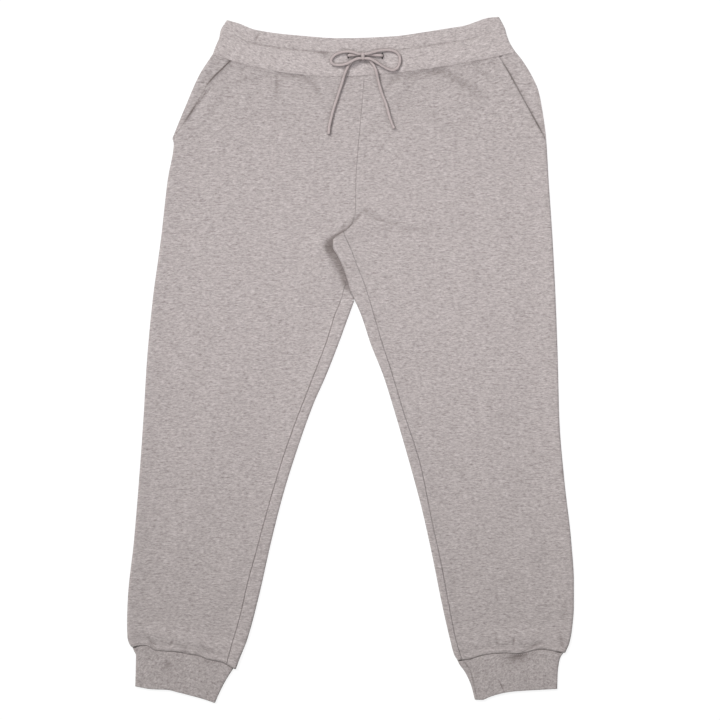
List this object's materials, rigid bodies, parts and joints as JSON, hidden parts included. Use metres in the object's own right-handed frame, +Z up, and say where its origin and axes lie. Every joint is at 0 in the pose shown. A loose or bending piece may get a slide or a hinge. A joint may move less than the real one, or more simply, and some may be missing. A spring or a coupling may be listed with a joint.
{
  "type": "jogger sweatpants",
  "caption": "Jogger sweatpants laid flat, front up, with an elastic drawstring waistband tied in a bow, slanted side pockets and gathered ribbed ankle cuffs.",
  "frame": {"origin": "middle of the laid-out garment's outline, on the surface that it lies on", "axes": "+X towards the wearer's left side, +Y up the legs to the waist, +Z up, out of the front"},
  "size_m": [0.6703, 1.0289, 0.0179],
  "materials": {
    "fleece": "matte heather knit",
    "waist_rib": "matte heather knit, gathered",
    "cuff_rib": "matte heather rib",
    "thread": "matte thread",
    "drawcord": "matte tubular braid"
  },
  "bodies": {
    "root": {"waistband": "waist_rib", "cuff_right": "cuff_rib", "cuff_left": "cuff_rib", "front_right": "fleece", "front_left": "fleece", "back_right": "fleece", "back_left": "fleece", "pocket_right": "fleece", "pocket_left": "fleece", "eyelet_right": "thread", "eyelet_left": "thread", "lead_right": "drawcord", "lead_left": "drawcord", "loop_right": "drawcord", "loop_left": "drawcord", "tail_right": "drawcord", "tail_left": "drawcord", "bow_knot": "drawcord"}
  },
  "joints": []
}
